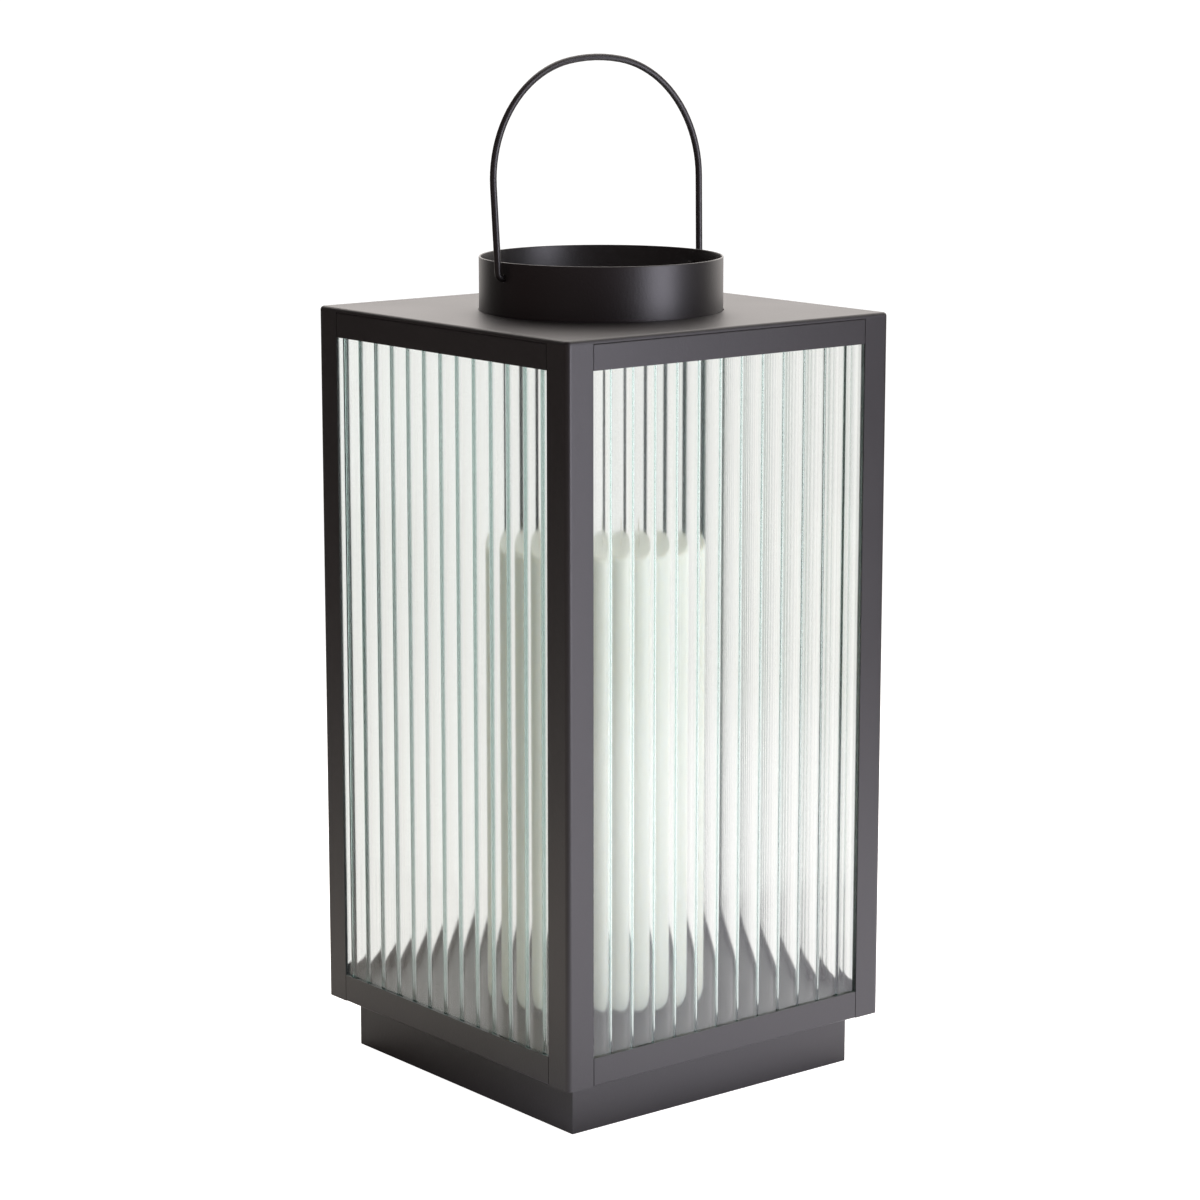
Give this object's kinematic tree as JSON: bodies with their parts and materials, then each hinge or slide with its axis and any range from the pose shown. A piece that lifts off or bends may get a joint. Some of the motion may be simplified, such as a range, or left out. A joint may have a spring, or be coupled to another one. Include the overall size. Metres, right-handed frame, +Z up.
{
  "type": "candle lantern",
  "caption": "Square black metal candle lantern with fluted glass sides, a recessed plinth, an open round collar on the roof, a swinging wire bail and a pillar candle inside.",
  "frame": {"origin": "middle of the plinth's underside, on the surface the lantern stands on", "axes": "+Z up; the front faces -Y; +X to the right seen from the front, along the bail's hinge line"},
  "size_m": [0.19, 0.19, 0.4819],
  "materials": {
    "black_coating": "satin black powder coat",
    "fluted_glass": "clear, slightly green, fluted on its inner side",
    "candle_wax": "smooth ivory wax",
    "wick_cotton": "braided cotton"
  },
  "bodies": {
    "lantern": {"corner_post_front_left": "black_coating", "corner_post_front_right": "black_coating", "corner_post_back_right": "black_coating", "corner_post_back_left": "black_coating", "top_rail_front": "black_coating", "top_rail_right": "black_coating", "top_rail_back": "black_coating", "top_rail_left": "black_coating", "bottom_rail_front": "black_coating", "bottom_rail_right": "black_coating", "bottom_rail_back": "black_coating", "bottom_rail_left": "black_coating", "plinth_front": "black_coating", "plinth_right": "black_coating", "plinth_back": "black_coating", "plinth_left": "black_coating", "glass_pane_front": "fluted_glass", "glass_pane_right": "fluted_glass", "glass_pane_back": "fluted_glass", "glass_pane_left": "fluted_glass", "pane_tabs_front": "black_coating", "pane_tabs_right": "black_coating", "pane_tabs_back": "black_coating", "pane_tabs_left": "black_coating", "floor_plate": "black_coating", "roof_plate": "black_coating", "collar": "black_coating"},
    "bail": {"bail_handle": "black_coating"},
    "candle": {"candle_body": "candle_wax", "candle_wick": "wick_cotton"}
  },
  "joints": [
    {"name": "bail_swing", "type": "hinge", "parent": "lantern", "child": "bail", "pos_m": [0, 0, 0.3815], "axis": [1, 0, 0], "range_deg": [-96.4, 101.6]},
    {"name": "candle_lift", "type": "slide", "parent": "lantern", "child": "candle", "axis": [0, 0, 1], "range_m": [0, 0.19]}
  ]
}
